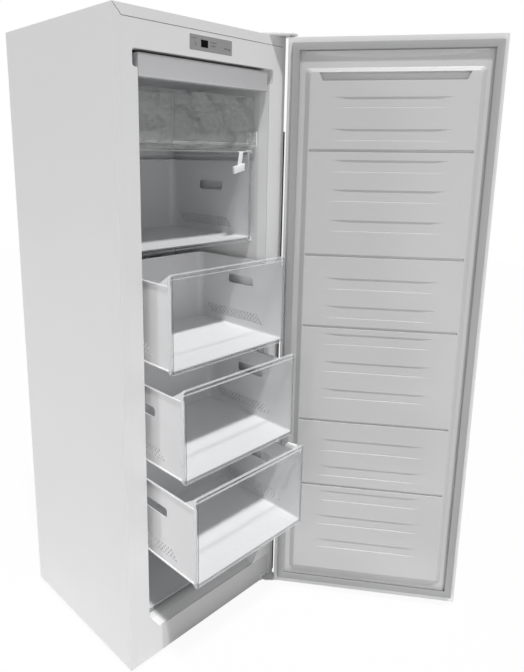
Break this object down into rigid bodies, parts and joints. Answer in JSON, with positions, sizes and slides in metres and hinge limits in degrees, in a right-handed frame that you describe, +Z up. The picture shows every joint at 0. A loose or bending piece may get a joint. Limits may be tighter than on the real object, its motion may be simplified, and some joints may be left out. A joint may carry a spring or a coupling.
{
  "type": "upright freezer",
  "caption": "Upright freezer with one tall hinged door standing open, clear-fronted pull-out drawers, a flap compartment, levelling feet and rear rollers.",
  "frame": {"origin": "middle of the cabinet's footprint, on the floor", "axes": "+X to the viewer's right, towards the hinge side; +Y from the front to the back; +Z up"},
  "size_m": [0.96, 1.0571, 1.796],
  "materials": {
    "white_steel": "smooth satin",
    "bare_steel": "zinc plated",
    "black_steel": "black enamel",
    "white_plastic": "smooth satin",
    "clear_plastic": "clear",
    "grey_plastic": "satin",
    "dark_plastic": "glossy",
    "foam": "rigid foam",
    "grey_rubber": "soft",
    "black_rubber": "soft",
    "copper": "drawn tube",
    "aluminium": "plain",
    "green_board": "coated board",
    "white_glass": "clear"
  },
  "bodies": {
    "cabinet": {"back_panel": "white_steel", "base_pan": "white_steel", "cabinet_insulation": "foam", "compressor": "black_steel", "compressor_grommets": "black_rubber", "condenser_coil": "black_steel", "control_board": "green_board", "control_panel": "grey_plastic", "cord_gland": "black_rubber", "defrost_heater": "bare_steel", "display_window": "dark_plastic", "drain_tube": "white_plastic", "drawer_rails": "white_plastic", "drip_tray": "dark_plastic", "evaporator": "aluminium", "evaporator_cover": "white_plastic", "fan_motor": "dark_plastic", "filter_drier": "copper", "flap_brackets": "white_plastic", "front_frame": "white_plastic", "hinge_pins": "bare_steel", "hinge_screws": "bare_steel", "inner_liner": "white_plastic", "lower_hinge_bracket": "white_steel", "rear_grille": "white_steel", "refrigerant_pipes": "copper", "side_panel_left": "white_steel", "side_panel_right": "white_steel", "start_relay": "dark_plastic", "top_air_duct": "grey_plastic", "top_cover": "white_steel", "top_shelf": "white_glass", "upper_hinge_bracket": "bare_steel", "upper_hinge_cover": "white_plastic"},
    "fan": {"fan_impeller": "dark_plastic"},
    "button_left": {"control_button_left": "grey_plastic"},
    "button_right": {"control_button_right": "grey_plastic"},
    "foot_left": {"front_foot_left": "dark_plastic"},
    "foot_right": {"front_foot_right": "dark_plastic"},
    "roller_left": {"rear_roller_left": "dark_plastic"},
    "roller_right": {"rear_roller_right": "dark_plastic"},
    "flap": {"top_flap": "clear_plastic"},
    "door": {"door_outer_panel": "white_steel", "door_liner": "white_plastic", "door_insulation": "foam", "door_gasket": "grey_rubber", "door_top_cap": "white_plastic", "door_bottom_cap": "white_plastic", "hinge_bushes": "white_plastic"},
    "drawer_2": {"drawer_2_tub": "white_plastic", "drawer_2_front": "clear_plastic"},
    "drawer_3": {"drawer_3_tub": "white_plastic", "drawer_3_front": "clear_plastic"},
    "drawer_4": {"drawer_4_tub": "white_plastic", "drawer_4_front": "clear_plastic"},
    "drawer_5": {"drawer_5_tub": "white_plastic", "drawer_5_front": "clear_plastic"},
    "drawer_6": {"drawer_6_tub": "white_plastic", "drawer_6_front": "clear_plastic"}
  },
  "joints": [
    {"name": "door_hinge", "type": "hinge", "parent": "cabinet", "child": "door", "pos_m": [0.2886, -0.3011, 0.9], "axis": [0, 0, 1], "range_deg": [-125.83, 9]},
    {"name": "drawer_2_slide", "type": "slide", "parent": "cabinet", "child": "drawer_2", "axis": [0, -1, 0], "range_m": [0, 0.24]},
    {"name": "drawer_3_slide", "type": "slide", "parent": "cabinet", "child": "drawer_3", "axis": [0, -1, 0], "range_m": [-0.1425, 0.0107]},
    {"name": "drawer_4_slide", "type": "slide", "parent": "cabinet", "child": "drawer_4", "axis": [0, -1, 0], "range_m": [-0.1905, 0.0141]},
    {"name": "drawer_5_slide", "type": "slide", "parent": "cabinet", "child": "drawer_5", "axis": [0, -1, 0], "range_m": [-0.2365, 0.0174]},
    {"name": "drawer_6_slide", "type": "slide", "parent": "cabinet", "child": "drawer_6", "axis": [0, -1, 0], "range_m": [0, 0.15]},
    {"name": "flap_hinge", "type": "hinge", "parent": "cabinet", "child": "flap", "pos_m": [0, -0.216, 1.484], "axis": [1, 0, 0], "range_deg": [0, 90]},
    {"name": "button_left_push", "type": "slide", "parent": "cabinet", "child": "button_left", "axis": [0, 1, 0], "range_m": [0, 0.001], "stiffness_N_per_m": 400, "springref_m": -0.001},
    {"name": "button_right_push", "type": "slide", "parent": "cabinet", "child": "button_right", "axis": [0, 1, 0], "range_m": [0, 0.001], "stiffness_N_per_m": 400, "springref_m": -0.001},
    {"name": "fan_spin", "type": "hinge", "parent": "cabinet", "child": "fan", "pos_m": [0, 0.177, 1.575], "axis": [0, 1, 0], "continuous": true},
    {"name": "foot_left_screw", "type": "hinge", "parent": "cabinet", "child": "foot_left", "pos_m": [-0.25, -0.235, 0.02], "axis": [0, 0, 1], "continuous": true},
    {"name": "foot_right_screw", "type": "hinge", "parent": "cabinet", "child": "foot_right", "pos_m": [0.25, -0.235, 0.02], "axis": [0, 0, 1], "continuous": true},
    {"name": "roller_left_roll", "type": "hinge", "parent": "cabinet", "child": "roller_left", "pos_m": [-0.255, 0.235, 0.015], "axis": [1, 0, 0], "continuous": true},
    {"name": "roller_right_roll", "type": "hinge", "parent": "cabinet", "child": "roller_right", "pos_m": [0.255, 0.235, 0.015], "axis": [1, 0, 0], "continuous": true}
  ],
  "couplings": [
    {"joint": "drawer_3_slide", "follows": "door_hinge", "m_per_rad": 0.064659},
    {"joint": "drawer_4_slide", "follows": "door_hinge", "m_per_rad": 0.086515},
    {"joint": "drawer_5_slide", "follows": "door_hinge", "m_per_rad": 0.10746}
  ]
}
